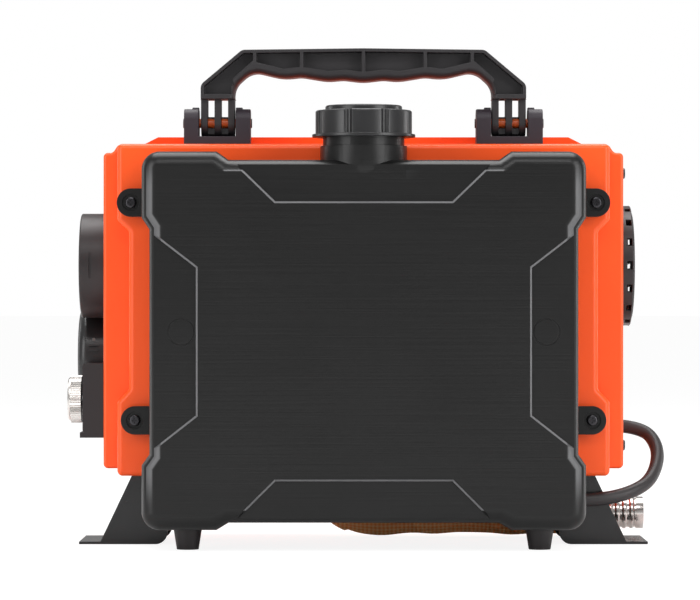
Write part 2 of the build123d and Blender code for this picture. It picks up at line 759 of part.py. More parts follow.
def bracket(sign):
    """One two-eared bracket, on the left (-1) or the right (+1) of the case top."""
    start = min(sign * bracket_inner, sign * bracket_outer)
    width = bracket_outer - bracket_inner
    ear_top_z = pivot_z + ear_rise
    with BuildPart() as base:
        middle = (handle_y, (case_top_z + ear_top_z) / 2)
        slab(side(start), [middle], (bracket_depth, ear_top_z - case_top_z), width)
        crown = base.edges().filter_by(Axis.X).group_by(Axis.Z)[-1]
        fillet(crown, ear_round)
        for x in (start + ear_width - ear_step[0], start + width - ear_width):
            slab(side(x), [(handle_y, ear_top_z)], (ear_step[1], 2 * ear_step[2]), ear_step[0])
        gap_height = ear_top_z - case_top_z - bracket_floor
        gap_middle = (handle_y, ear_top_z - gap_height / 2)
        gap_plane = side(start + ear_width)
        slab(gap_plane, [gap_middle], (bracket_depth, gap_height), width - 2 * ear_width, mode=Mode.SUBTRACT)
        disc(side(start), [(handle_y, pivot_z)], pin_radius + ear_play, width, mode=Mode.SUBTRACT)
        screws = [(x, y) for x, y in bracket_screw_places if x * sign > 0]
        disc(level(case_top_z), screws, bracket_screw_radius + screw_play, bracket_floor, mode=Mode.SUBTRACT)
        sink_plane = level(case_top_z + bracket_floor - bracket_screw_sink)
        disc(sink_plane, screws, bracket_screw_head + screw_play, bracket_screw_sink, mode=Mode.SUBTRACT)
    return base


left_handle_bracket = bracket(-1)
right_handle_bracket = bracket(1)

with BuildPart() as handle_pins:
    pin_length = bracket_outer - bracket_inner + 2 * pin_end
    for x in (-bracket_outer, bracket_inner):
        disc(side(x - pin_end), [(handle_y, pivot_z)], pin_radius, pin_length)

with BuildPart() as bracket_screws:
    head_plane = level(case_top_z + bracket_floor - bracket_screw_sink)
    disc(head_plane, bracket_screw_places, bracket_screw_head, bracket_screw_head_height)
    disc(head_plane, bracket_screw_places, bracket_screw_radius, -bracket_screw_length)

# Legs: bent sheet with a gusset at each end
lean = (leg_toe_half - leg_top_half) / (case_floor_z - leg_sheet)
slant = leg_sheet * math.hypot(1, lean)


def leg(sign):
    """One sheet leg, on the left (-1) or the right (+1) side."""
    toe = leg_toe_half + leg_sheet * lean
    strip = [
        (leg_flange_half, case_floor_z),
        (leg_top_half, case_floor_z),
        (leg_toe_half, leg_sheet),
        (leg_foot_half, leg_sheet),
        (leg_foot_half, 0),
        (toe - slant, 0),
        (leg_top_half - slant + leg_sheet * lean, case_floor_z - leg_sheet),
        (leg_flange_half, case_floor_z - leg_sheet),
    ]
    gusset = [
        (leg_inner_half, case_floor_z - leg_sheet / 2),
        (leg_top_half - leg_sheet / 2, case_floor_z - leg_sheet / 2),
        (toe - slant / 2, 0),
        (leg_inner_half, 0),
    ]
    with BuildPart() as sheet:
        panel(facing(leg_y), [(sign * x, z) for x, z in strip], -leg_length)
        for y in (leg_y, leg_y + leg_length - leg_sheet):
            with BuildSketch(facing(y)) as web:
                with BuildLine():
                    Polyline(*[(sign * x, z) for x, z in gusset], close=True)
                make_face()
                inner_foot = [v for v in web.vertices() if v.Y < 1 and abs(v.X) < leg_inner_half + 1]
                fillet(inner_foot, leg_round)
            extrude(web.sketch, amount=-leg_sheet)
        screws = [(x, y) for x, y in leg_screw_places if x * sign > 0]
        hole_plane = level(case_floor_z - leg_sheet)
        disc(hole_plane, screws, leg_screw_radius + screw_play, leg_sheet, mode=Mode.SUBTRACT)
    return sheet


left_leg = leg(-1)
right_leg = leg(1)

with BuildPart() as leg_screws:
    disc(level(case_floor_z - leg_sheet), leg_screw_places, leg_screw_head, -leg_screw_head_height)
    disc(level(case_floor_z - leg_sheet), leg_screw_places, leg_screw_radius, leg_screw_length)

# Warm-air outlet on the left, intake grille on the right
with BuildPart() as outlet_collar:
    collar_place = [(axis_y, axis_z)]
    disc(side(-case_half_width), collar_place, collar_radius, -collar_reach)
    fillet(outlet_collar.faces().sort_by(Axis.X)[0].edges(), 1.2)
    disc(side(-case_half_width), collar_place, duct_radius, case_half_width - heater_left)
    whole_length = collar_reach + case_half_width - heater_left
    disc(side(-case_half_width - collar_reach), collar_place, collar_bore, whole_length, mode=Mode.SUBTRACT)
    # a bayonet notch on the tank side of the rim
    notch_plane = facing(axis_y - collar_radius + collar_notch_depth)
    notch_place = (-case_half_width - collar_notch_reach, axis_z + collar_notch_rise)
    slab(notch_plane, [notch_place], collar_notch_size, 2 * collar_notch_depth, mode=Mode.SUBTRACT)

with BuildPart() as outlet_guard:
    guard_plane = side(-case_half_width - collar_reach + guard_setback)
    disc(guard_plane, collar_place, collar_bore - fit_play, 2 * guard_wire, collar_bore - 2.5)
    guard_pitch = 2 * collar_bore / (guard_bars + 1)
    for i in range(guard_bars):
        u = (i - (guard_bars - 1) / 2) * guard_pitch
        reach = 2 * math.sqrt((collar_bore - 1) ** 2 - u**2)
        slab(guard_plane, [(axis_y + u, axis_z)], (guard_wire, reach), guard_wire)
        slab(guard_plane, [(axis_y, axis_z + u)], (reach, guard_wire), guard_wire)

with BuildPart() as intake_grille:
    disc(side(case_half_width), collar_place, grille_radius, grille_rim)
    disc(side(case_half_width + grille_rim), collar_place, grille_radius - grille_step, grille_dome)
    fillet(intake_grille.faces().sort_by(Axis.X)[-1].edges(), grille_round)
    rims = intake_grille.edges().filter_by(GeomType.CIRCLE).group_by(SortBy.RADIUS)[-1]
    fillet(rims.sort_by(Axis.X)[-1], grille_round)
    hollow_reach = grille_rim - grille_wall
    grille_depth = grille_rim + grille_dome
    inner_radius = grille_radius - grille_wall
    disc(side(case_half_width), collar_place, inner_radius, hollow_reach, mode=Mode.SUBTRACT)
    dome_plane = side(case_half_width + hollow_reach)
    dome_radius = grille_radius - grille_step - grille_wall
    disc(dome_plane, collar_place, dome_radius, grille_dome, mode=Mode.SUBTRACT)
    for i in range(grille_slots):
        turn = Location((case_half_width, axis_y, axis_z), (i * 360 / grille_slots, 0, 0))
        with Locations(turn):
            with Locations((grille_slot_start + grille_slot_length / 2, 0, inner_radius)):
                Box(grille_slot_length, grille_slot_width, 4 * grille_wall, mode=Mode.SUBTRACT)
    for i in range(-3, 4):
        reach = 2 * math.sqrt((grille_radius - 10) ** 2 - (i * grille_pitch) ** 2)
        place = [(axis_y, axis_z + i * grille_pitch)]
        slab(side(case_half_width + 2), place, (reach, grille_gap), grille_depth, mode=Mode.SUBTRACT)

with BuildPart() as side_screws:
    disc(side(case_half_width), side_screw_places, side_screw_head, side_screw_height)
    fillet(side_screws.faces().sort_by(Axis.X)[-2:].edges(), 1.2)
    disc(side(case_half_width), side_screw_places, side_screw_radius, -side_screw_length)

# Heater unit
inner_half_width = heater_half_width - heater_wall
inner_half_height = heater_half_height - heater_wall
heater_length = heater_left + heater_right


def heater_half(sign):
    """The lower (-1) or upper (+1) half of the heater's sheet housing."""
    middle = (axis_y, axis_z + sign * heater_half_height / 2)
    inner_length = heater_length - 2 * heater_wall
    with BuildPart() as half:
        slab(side(-heater_left), [middle], (2 * heater_half_width, heater_half_height), heater_length)
        hollow_middle = (axis_y, axis_z + sign * inner_half_height / 2)
        hollow_size = (2 * inner_half_width, inner_half_height)
        slab(side(heater_wall - heater_left), [hollow_middle], hollow_size, inner_length, mode=Mode.SUBTRACT)
        disc(side(-heater_left), collar_place, collar_bore, heater_wall, mode=Mode.SUBTRACT)
        disc(side(heater_right - heater_wall), collar_place, seal_bore, heater_wall, mode=Mode.SUBTRACT)
        if sign < 0:
            under = level(heater_floor_z)
            disc(under, [(-exhaust_x, axis_y)], riser_radius + 2.2, heater_wall, mode=Mode.SUBTRACT)
            stub_hole = air_stub_radius + air_stub_play / 2
            disc(under, [(air_stub_x, axis_y)], stub_hole, heater_wall, mode=Mode.SUBTRACT)
    return half


heater_lower_housing = heater_half(-1)
heater_upper_housing = heater_half(1)

with BuildPart() as heater_cradle:
    cradle_place = [(0, axis_y)]
    slab(level(deck_under_z), cradle_place, (2 * cradle_half, 2 * heater_half_width), cradle_sheet)
    wall_height = deck_under_z - inner_floor_z
    for s in (-1, 1):
        wall_y = axis_y + s * (heater_half_width - cradle_sheet / 2)
        foot_y = axis_y + s * (heater_half_width - cradle_foot / 2)
        slab(level(inner_floor_z), [(0, wall_y)], (2 * cradle_half, cradle_sheet), wall_height)
        slab(level(inner_floor_z), [(0, foot_y)], (2 * cradle_half, cradle_foot), cradle_sheet)
    disc(level(deck_under_z), [(-exhaust_x, axis_y)], riser_radius + 2.5, cradle_sheet, mode=Mode.SUBTRACT)
    disc(level(deck_under_z), [(air_stub_x, axis_y)], air_stub_radius + 1, cradle_sheet, mode=Mode.SUBTRACT)
    delivery_place = [(delivery_x, hose_y)]
    disc(level(deck_under_z), delivery_place, delivery_radius + 0.5, cradle_sheet, mode=Mode.SUBTRACT)

heater_inner_floor_z = heater_floor_z + heater_wall

with BuildPart() as heat_exchanger:
    exchanger_length = exchanger_end - burner_face
    disc(side(-exchanger_end), collar_place, exchanger_radius, exchanger_length)
    for i in range(fin_count):
        turn = Location((-exchanger_end, axis_y, axis_z), ((i + 0.5) * 360 / fin_count, 0, 0))
        with Locations(turn):
            with Locations((exchanger_length / 2 - 8, 0, (fin_radius + exchanger_radius) / 2 - 1)):
                Box(exchanger_length - 20, fin_thick, fin_radius - exchanger_radius + 2)
    stub_place = [(-exhaust_x, axis_y)]
    stub_height = axis_z - heater_inner_floor_z
    disc(level(heater_inner_floor_z), stub_place, riser_radius + 4, stub_height)
    disc(level(heater_floor_z - 6), stub_place, riser_radius + 2, stub_height)
    plug_boss_z = axis_z + exchanger_radius + 2
    disc(level(axis_z), [(-plug_x, axis_y)], plug_radius + 4, plug_boss_z - axis_z)
    disc(side(-exchanger_end + 4), collar_place, exchanger_bore, exchanger_length - 4, mode=Mode.SUBTRACT)
    disc(level(heater_floor_z - 6), stub_place, riser_radius, stub_height, mode=Mode.SUBTRACT)
    plug_bore = plug_radius + fit_play
    disc(level(axis_z), [(-plug_x, axis_y)], plug_bore, exchanger_radius + 4, mode=Mode.SUBTRACT)

with BuildPart() as burner_tube:
    burner_start = -burner_face - burner_length
    disc(side(burner_start), collar_place, burner_radius, burner_length, burner_radius - burner_wall)
    flange_plane = side(-burner_face - burner_flange)
    disc(flange_plane, collar_place, exchanger_bore - 0.2, burner_flange, burner_radius - burner_wall)

with BuildPart() as glow_plug:
    plug_place = [(-plug_x, axis_y)]
    disc(level(axis_z + burner_radius + 2), plug_place, plug_radius, exchanger_radius - burner_radius)
    with BuildSketch(level(plug_boss_z)) as hexagon:
        with Locations((-plug_x, axis_y)):
            RegularPolygon(plug_radius + 3, 6)
    extrude(hexagon.sketch, amount=5)
    disc(level(plug_boss_z), plug_place, plug_radius / 2, 12)

with BuildPart() as blower_housing:
    disc(side(-burner_face), collar_place, blower_radius, blower_length)
    air_place = [(air_stub_x, axis_y)]
    disc(level(heater_inner_floor_z), air_place, air_boss_radius, axis_z - heater_inner_floor_z)
    stub_bottom_z = case_floor_z - air_filter_clearance
    disc(level(stub_bottom_z), air_place, air_stub_radius, axis_z - stub_bottom_z)
    inner_length = blower_length - 2 * blower_wall
    inner_blower = blower_radius - blower_wall
    disc(side(blower_wall - burner_face), collar_place, inner_blower, inner_length, mode=Mode.SUBTRACT)
    disc(side(-burner_face), collar_place, burner_radius / 2, blower_wall, mode=Mode.SUBTRACT)
    shaft_hole = shaft_radius + 2
    disc(side(0), collar_place, shaft_hole, blower_length, mode=Mode.SUBTRACT)
    disc(level(stub_bottom_z), air_place, air_stub_radius - 1.5, axis_z - stub_bottom_z, mode=Mode.SUBTRACT)

with BuildPart() as fan_motor:
    motor_start = blower_length - burner_face
    disc(side(motor_start), collar_place, motor_radius, motor_length, shaft_radius + shaft_play)
    for s in (-1, 1):
        slab(side(motor_start), [(axis_y + s * motor_radius, axis_z)], (16, 10), 3)

with BuildPart() as fan_shaft:
    disc(side(shaft_start), collar_place, shaft_radius, shaft_end - shaft_start)

with BuildPart() as combustion_fan:
    fan_plane = side(burner_fan_start)
    disc(fan_plane, collar_place, burner_fan_radius, 2)
    disc(fan_plane, collar_place, shaft_radius + 5, burner_fan_width)
    for i in range(12):
        with Locations(Location((burner_fan_start, axis_y, axis_z), (i * 30, 0, 0))):
            with Locations(Location((burner_fan_width / 2, 0, burner_fan_radius / 2 + 6), (25, 0, 0))):
                Box(burner_fan_width, 1.5, burner_fan_radius / 2)
    disc(fan_plane, collar_place, shaft_radius + fan_press, burner_fan_width, mode=Mode.SUBTRACT)

with BuildPart() as main_fan:
    disc(side(main_fan_start), collar_place, main_fan_hub, main_fan_width)
    blade_span = main_fan_radius - main_fan_hub + 2
    for i in range(main_fan_blades):
        turn = (i * 360 / main_fan_blades, 0, 0)
        with Locations(Location((main_fan_start + main_fan_width / 2, axis_y, axis_z), turn)):
            with Locations(Location((0, 0, main_fan_radius - blade_span / 2), (0, 0, 38))):
                Box(main_fan_width, 2, blade_span)
    disc(side(main_fan_start), collar_place, shaft_radius + fan_press, main_fan_width, mode=Mode.SUBTRACT)

with BuildPart() as intake_seal:
    seal_length = case_half_width - case_wall - heater_right
    disc(side(heater_right), collar_place, seal_radius, seal_length, seal_bore)

with BuildPart() as control_unit:
    unit_x, unit_y, unit_height = control_unit_size
    slab(level(inner_floor_z), [control_unit_place], (unit_x, unit_y), unit_height)
    fillet(control_unit.edges().filter_by(Axis.Z), 3)

with BuildPart() as overheat_sensor:
    disc(level(axis_z + heater_half_height), [(-exchanger_end + 30, axis_y)], sensor_radius, sensor_height)

# Exhaust: riser inside, corrugated pipe below the case, woven sleeve and clamp
rib_start_x = exhaust_reach - exhaust_band - exhaust_ribs * exhaust_rib_pitch

with BuildPart() as exhaust_riser:
    riser_top = (-exhaust_x, axis_y, heater_floor_z - 6)
    riser_route = [
        riser_top,
        (-exhaust_x, axis_y, inner_floor_z + 62),
        (-exhaust_x, exhaust_y, inner_floor_z + 28),
        (-exhaust_x, exhaust_y, case_floor_z - 7),
    ]
    tube(riser_route, riser_bend, riser_radius, riser_radius - 1)

with BuildPart() as exhaust_pipe:
    pipe_route = [
        (-exhaust_x, exhaust_y, case_floor_z),
        (-exhaust_x, exhaust_y, exhaust_height),
        (rib_start_x, exhaust_y, exhaust_height),
    ]
    tube(pipe_route, exhaust_bend, exhaust_root, exhaust_bore)
    crest = exhaust_rib_pitch / 4
    for i in range(exhaust_ribs):
        start = rib_start_x + i * exhaust_rib_pitch
        rib_radii = (exhaust_root, exhaust_radius, exhaust_radius, exhaust_root)
        stations = [(step * crest, r) for step, r in enumerate(rib_radii)]
        sections = []
        for x, r in stations:
            with BuildSketch(side(start + x)) as ring:
                with Locations((exhaust_y, exhaust_height)):
                    Circle(r)
            sections.append(ring.sketch)
        loft(sections, ruled=True)
    pipe_place = [(exhaust_y, exhaust_height)]
    rib_length = exhaust_ribs * exhaust_rib_pitch
    disc(side(rib_start_x), pipe_place, exhaust_root, rib_length)
    disc(side(rib_start_x + rib_length), pipe_place, exhaust_radius, exhaust_band)
    disc(side(rib_start_x), pipe_place, exhaust_bore, rib_length + exhaust_band, mode=Mode.SUBTRACT)

with BuildPart() as exhaust_sleeve:
    sleeve_route = [
        (-exhaust_x, exhaust_y, exhaust_height + exhaust_bend + 0.5),
        (-exhaust_x, exhaust_y, exhaust_height),
        (sleeve_end, exhaust_y, exhaust_height),
    ]
    tube(sleeve_route, exhaust_bend, sleeve_radius, sleeve_bore)

with BuildPart() as exhaust_clamp:
    clamp_plane = level(case_floor_z - clamp_width - 1)
    clamp_place = (-exhaust_x, exhaust_y)
    clamp_bore = exhaust_root + clamp_play
    slab(clamp_plane, [(-exhaust_x, exhaust_y + exhaust_root + 5)], (6, 8), clamp_width)
    disc(clamp_plane, [clamp_place], clamp_bore + clamp_thick, clamp_width)
    disc(clamp_plane, [clamp_place], clamp_bore, clamp_width, mode=Mode.SUBTRACT)

with BuildPart() as air_filter:
    filter_top_z = case_floor_z - 0.5
    filter_base_z = stub_bottom_z - air_filter_height + 5
    filter_height = filter_top_z - filter_base_z
    disc(level(filter_base_z), air_place, air_filter_radius, filter_height)
    fillet(air_filter.faces().sort_by(Axis.Z)[0].edges(), 3)
    bore_height = filter_top_z - stub_bottom_z
    disc(level(stub_bottom_z), air_place, air_stub_radius + fit_play, bore_height, mode=Mode.SUBTRACT)

# Fuel path: tank elbow, hose round the right side, filter, pump and lines
elbow_y = tank_back_y + elbow_lift
elbow_x = hose_end_x - 6

with BuildPart() as tank_outlet_elbow:
    disc(facing(tank_back_y), [(elbow_x, hose_end_z)], elbow_flange, -1.5)
    disc(facing(tank_back_y), [(elbow_x, hose_end_z)], spigot_radius + 1, -elbow_lift)
    with Locations((elbow_x, elbow_y, hose_end_z)):
        Sphere(spigot_radius + 1)
    disc(side(elbow_x), [(elbow_y, hose_end_z)], spigot_radius, 6 + spigot_length * 0.7)
    disc(side(elbow_x), [(elbow_y, hose_end_z)], spigot_radius + 1, 6)

hose_route = [
    (hose_start_x, hose_y, hose_z),
    *hose_bends,
    (hose_low_x, elbow_y, hose_end_z),
    (hose_end_x, elbow_y, hose_end_z),
]


def corner_radii(route):
    """The largest arc that each corner's two runs allow."""
    radii = []
    for a, b, c in zip(route, route[1:], route[2:]):
        first = Vector(*b) - Vector(*a)
        second = Vector(*c) - Vector(*b)
        half_turn = math.radians(first.get_angle(second) / 2)
        radii.append(0.45 * min(first.length, second.length) / math.tan(half_turn))
    return radii


with BuildPart() as fuel_hose:
    hose_radii = corner_radii(hose_route)
    hose_length = tube(hose_route, hose_radii, hose_radius, hose_bore)
hose_section = math.pi * (hose_radius**2 - hose_bore**2)
print("hose radii", [round(r, 1) for r in hose_radii], "length", round(hose_length, 1))
print("hose volume against section", round(fuel_hose.part.volume / (hose_section * hose_length), 4))

with BuildPart() as hose_clips:
    clip_bore = hose_radius + fit_play
    clip_places = ((hose_end_x + 1, elbow_y, hose_end_z), (hose_start_x + 1, hose_y, hose_z))
    for x, y, z in clip_places:
        slab(side(x), [(y, z + clip_bore + 2)], (5, 4), clip_width)
        disc(side(x), [(y, z)], clip_bore + clip_thick, clip_width)
        disc(side(x), [(y, z)], clip_bore, clip_width, mode=Mode.SUBTRACT)

with BuildPart() as hose_grommet:
    grommet_start = case_half_width - case_wall - 1.5
    grommet_place = [(hose_y, hose_z)]
    disc(side(grommet_start), grommet_place, grommet_radius, 1.5, hose_radius + fit_play)
    disc(side(grommet_start), grommet_place, grommet_radius - 1.6, case_wall + 1.5, hose_radius + fit_play)

with BuildPart() as fuel_filter:
    disc(side(filter_left), grommet_place, filter_radius, filter_length)
    spigots = filter_length + 2 * spigot_length
    disc(side(filter_left - spigot_length), grommet_place, spigot_radius, spigots)

with BuildPart() as fuel_pump:
    disc(side(pump_left), grommet_place, pump_radius, pump_length)
    fillet(fuel_pump.edges().filter_by(GeomType.CIRCLE), 2)
    disc(side(pump_left - 6), grommet_place, spigot_radius, pump_length + 6 + spigot_length)

with BuildPart() as feed_line:
    feed_start = pump_left + pump_length + 1
    disc(side(feed_start), grommet_place, hose_radius, filter_left - 1 - feed_start, hose_bore)

with BuildPart() as pump_mount:
    mount_height = hose_z - inner_floor_z
    mount_plane = side(pump_left + pump_length / 2 - mount_width / 2)
    mount_middle = (hose_y, inner_floor_z + mount_height / 2)
    slab(mount_plane, [mount_middle], (2 * (pump_radius + mount_side), mount_height), mount_width)
    disc(mount_plane, grommet_place, pump_radius + fit_play, mount_width, mode=Mode.SUBTRACT)

with BuildPart() as delivery_line:
    delivery_route = [
        (pump_left - 6, hose_y, hose_z),
        (delivery_x, hose_y, hose_z),
        (delivery_x, hose_y, heater_floor_z),
    ]
    tube(delivery_route, delivery_bend, delivery_radius, delivery_radius / 2)

# Controls on the left side
box_face_x = -case_half_width - box_reach
box_mid_y = box_y + box_depth / 2
box_mid_z = box_z + box_height / 2

with BuildPart() as controller_box:
    slab(side(box_face_x), [(box_mid_y, box_mid_z)], (box_depth, box_height), box_reach)
    fillet(controller_box.edges().filter_by(Axis.Y).group_by(Axis.X)[0], 2)
    inner_box = (box_depth - 2 * box_wall, box_height - 2 * box_wall)
    inner_reach = box_reach - box_wall
    slab(side(box_face_x + box_wall), [(box_mid_y, box_mid_z)], inner_box, inner_reach, mode=Mode.SUBTRACT)
    lip_plane = side(box_face_x - box_lip_reach)
    slab(lip_plane, [(box_mid_y, box_z - box_lip / 2)], (box_depth, box_lip), box_reach + box_lip_reach)
    shaft_hole = encoder_shaft_radius + encoder_hole_play
    disc(side(box_face_x), [(knob_y, knob_z)], shaft_hole, box_wall, mode=Mode.SUBTRACT)

with BuildPart() as controller_board:
    board_size = (inner_box[0] - 0.4, inner_box[1] - 0.4)
    slab(side(board_x - board_thick), [(box_mid_y, box_mid_z)], board_size, board_thick)

with BuildPart() as encoder_body:
    encoder_plane = side(box_face_x + box_wall)
    slab(encoder_plane, [(knob_y, knob_z)], (encoder_size, encoder_size), encoder_length)
    encoder_bore = encoder_shaft_radius + encoder_play
    disc(encoder_plane, [(knob_y, knob_z)], encoder_bore, encoder_length - 0.6, mode=Mode.SUBTRACT)

knob_inner_x = box_face_x - knob_gap
knob_outer_x = knob_inner_x - knob_length

with BuildPart() as encoder_shaft:
    shaft_left_x = knob_outer_x + knob_cap
    shaft_right_x = box_face_x + box_wall + encoder_length - 2.0
    disc(side(shaft_left_x), [(knob_y, knob_z)], encoder_shaft_radius, shaft_right_x - shaft_left_x)

with BuildPart() as control_knob:
    teeth = []
    for i in range(2 * knob_grooves):
        angle = math.pi * i / knob_grooves
        reach = knob_radius - knob_groove * (i % 2)
        teeth.append((knob_y + reach * math.cos(angle), knob_z + reach * math.sin(angle)))
    panel(side(knob_outer_x + knob_cap), teeth, knob_length - knob_cap)
    disc(side(knob_outer_x), [(knob_y, knob_z)], knob_cap_radius, knob_cap)
    chamfer(control_knob.faces().sort_by(Axis.X)[0].edges(), 1.0)
    knob_bore = knob_inner_x - shaft_left_x
    grip_radius = encoder_shaft_radius + knob_press
    disc(side(shaft_left_x), [(knob_y, knob_z)], grip_radius, knob_bore, mode=Mode.SUBTRACT)

with BuildPart() as display_pod:
    pod_place = [(pod_y, pod_z)]
    pod_face_x = -case_half_width - pod_reach
    disc(side(pod_face_x), pod_place, pod_radius, pod_reach)
    fillet(display_pod.faces().sort_by(Axis.X)[0].edges(), pod_round)
    disc(side(pod_face_x), pod_place, lens_radius, lens_thick, mode=Mode.SUBTRACT)
    lamp_z = pod_z + lamp_rise
    lamp_y = pod_y - math.sqrt(pod_radius**2 - lamp_rise**2)
    disc(facing(lamp_y + 4), [(-lamp_x, lamp_z)], lamp_radius + lamp_play, 8, mode=Mode.SUBTRACT)
    rib_y = pod_y - pod_radius
    for rise in pod_rib_rises:
        slab(facing(rib_y + 3), [(-lamp_x, pod_z + rise)], (7, 1.2), 3.4)

with BuildPart() as display_lens:
    disc(side(pod_face_x), pod_place, lens_radius - fit_play, lens_thick)

with BuildPart() as status_lamp:
    disc(facing(lamp_y + 4), [(-lamp_x, lamp_z)], lamp_radius, 4.6)

with BuildPart() as wiring_harness:
    unit_top_z = inner_floor_z + unit_height
    harness_route = [
        (control_unit_place[0], harness_y, unit_top_z),
        (control_unit_place[0], harness_y, harness_z),
        (board_x, harness_y, harness_z),
    ]
    tube(harness_route, harness_bend, harness_radius, 0)

with BuildPart() as power_socket:
    socket_y = front_face_y - 1
    socket_place = [(-socket_x, socket_z)]
    disc(facing(socket_y), socket_place, socket_radius, socket_length)
    disc(facing(socket_y), socket_place, socket_radius - 3, socket_recess, mode=Mode.SUBTRACT)
    pin_places = [(-socket_x + s * socket_radius / 3, socket_z) for s in (-1, 1)]
    socket_bottom = facing(socket_y - socket_recess)
    disc(socket_bottom, pin_places, 1.5, 1 - socket_recess)

# Each piece by its everyday name; the origin is on the floor under the middle of the overall width
pieces = {
    "front_shell": front_shell,
    "rear_shell": rear_shell,
    "shell_gasket": shell_gasket,
    "shell_screws": shell_screws,
    "fuel_tank": fuel_tank,
    "tank_feet": tank_feet,
    "tank_screws": tank_screws,
    "cap_gasket": cap_gasket,
    "filler_cap": filler_cap,
    "handle": handle,
    "left_handle_bracket": left_handle_bracket,
    "right_handle_bracket": right_handle_bracket,
    "handle_pins": handle_pins,
    "bracket_screws": bracket_screws,
    "left_leg": left_leg,
    "right_leg": right_leg,
    "leg_screws": leg_screws,
    "outlet_collar": outlet_collar,
    "outlet_guard": outlet_guard,
    "intake_grille": intake_grille,
    "side_screws": side_screws,
    "heater_lower_housing": heater_lower_housing,
    "heater_upper_housing": heater_upper_housing,
    "heater_cradle": heater_cradle,
    "heat_exchanger": heat_exchanger,
    "burner_tube": burner_tube,
    "glow_plug": glow_plug,
    "blower_housing": blower_housing,
    "fan_motor": fan_motor,
    "fan_shaft": fan_shaft,
    "combustion_fan": combustion_fan,
    "main_fan": main_fan,
    "intake_seal": intake_seal,
    "control_unit": control_unit,
    "overheat_sensor": overheat_sensor,
    "exhaust_riser": exhaust_riser,
    "exhaust_pipe": exhaust_pipe,
    "exhaust_sleeve": exhaust_sleeve,
    "exhaust_clamp": exhaust_clamp,
    "air_filter": air_filter,
    "tank_outlet_elbow": tank_outlet_elbow,
    "fuel_hose": fuel_hose,
    "hose_clips": hose_clips,
    "hose_grommet": hose_grommet,
    "fuel_filter": fuel_filter,
    "fuel_pump": fuel_pump,
    "feed_line": feed_line,
    "pump_mount": pump_mount,
    "delivery_line": delivery_line,
    "controller_box": controller_box,
    "controller_board": controller_board,
    "encoder_body": encoder_body,
    "encoder_shaft": encoder_shaft,
    "control_knob": control_knob,
    "display_pod": display_pod,
    "display_lens": display_lens,
    "status_lamp": status_lamp,
    "wiring_harness": wiring_harness,
    "power_socket": power_socket,
}
centre_shift = (-knob_outer_x - exhaust_reach) / 2
print("moved to the right by", round(centre_shift, 3))
for name, piece in pieces.items():
    piece.part = piece.part.moved(Location((centre_shift, 0, 0)))
    piece.part.label = name
    export_step(piece.part, f"parts/{name}.step")
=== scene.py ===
import math

import bmesh
import bpy
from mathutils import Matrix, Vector, noise


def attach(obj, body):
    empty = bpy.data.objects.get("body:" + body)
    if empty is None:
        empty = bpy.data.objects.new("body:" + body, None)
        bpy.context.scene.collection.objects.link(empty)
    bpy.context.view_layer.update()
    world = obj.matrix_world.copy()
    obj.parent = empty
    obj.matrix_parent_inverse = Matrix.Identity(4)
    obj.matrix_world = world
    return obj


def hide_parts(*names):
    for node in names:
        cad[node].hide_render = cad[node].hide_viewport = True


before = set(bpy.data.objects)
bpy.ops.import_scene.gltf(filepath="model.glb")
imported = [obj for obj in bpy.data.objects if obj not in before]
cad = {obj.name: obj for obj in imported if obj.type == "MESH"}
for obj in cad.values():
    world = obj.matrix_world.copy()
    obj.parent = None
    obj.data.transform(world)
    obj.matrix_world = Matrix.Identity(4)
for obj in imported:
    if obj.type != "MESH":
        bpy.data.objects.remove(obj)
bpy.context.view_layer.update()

MIDDLE_X = 0.00315  # middle plane of the case, tank, cap and handle


# The heater is seen from its tank side, square on, from 2.7 m away with a long lens,
# so that the case behind the tank looks only a little smaller than the tank.
camera = bpy.data.objects.new("camera", bpy.data.cameras.new("camera"))
camera.location = (-0.00685, -2.8175, 0.182)
camera.rotation_euler = (math.radians(90), 0, 0)
camera.data.sensor_width = 36
camera.data.lens = 192.9
camera.data.clip_end = 200
bpy.context.scene.collection.objects.link(camera)
bpy.context.scene.camera = camera


# Fuel hose: a black rubber hose, 10 mm thick, that leaves the right side of the case through
# a grommet, hangs in one round bow and comes back under the case to the tank's outlet elbow.
class Value:
    """A socket in a finish's node tree. Arithmetic on it adds Math nodes."""

    def __init__(self, tree, socket):
        self.tree = tree
        self.socket = socket

    def node(self, kind, settings=None, inputs=None, output=0):
        """Adds one node: its settings first, then the values or links of its sockets."""
        made = self.tree.nodes.new(kind)
        for name, value in (settings or {}).items():
            setattr(made, name, value)
        for name, value in (inputs or {}).items():
            if isinstance(value, Value):
                self.tree.links.new(value.socket, made.inputs[name])
            else:
                made.inputs[name].default_value = value
        return Value(self.tree, made.outputs[output])

    def math(self, operation, *values):
        return self.node("ShaderNodeMath", {"operation": operation}, dict(enumerate(values)))

    def __add__(self, other):
        return self.math("ADD", self, other)

    __radd__ = __add__

    def __mul__(self, other):
        return self.math("MULTIPLY", self, other)

    __rmul__ = __mul__

    def __sub__(self, other):
        return self.math("SUBTRACT", self, other)

    def __rsub__(self, other):
        return self.math("SUBTRACT", other, self)

    def smooth(self, low, high):
        """0 below low, 1 above high and a soft step between them."""
        names = {"Value": self, "From Min": low, "From Max": high}
        return self.node("ShaderNodeMapRange", {"interpolation_type": "SMOOTHSTEP"}, names)

    def blend(self, first, second):
        """The first colour where this value is 0 and the second where it is 1."""
        return self.node("ShaderNodeMix", {"data_type": "RGBA"}, {0: self, 6: first, 7: second}, 2)


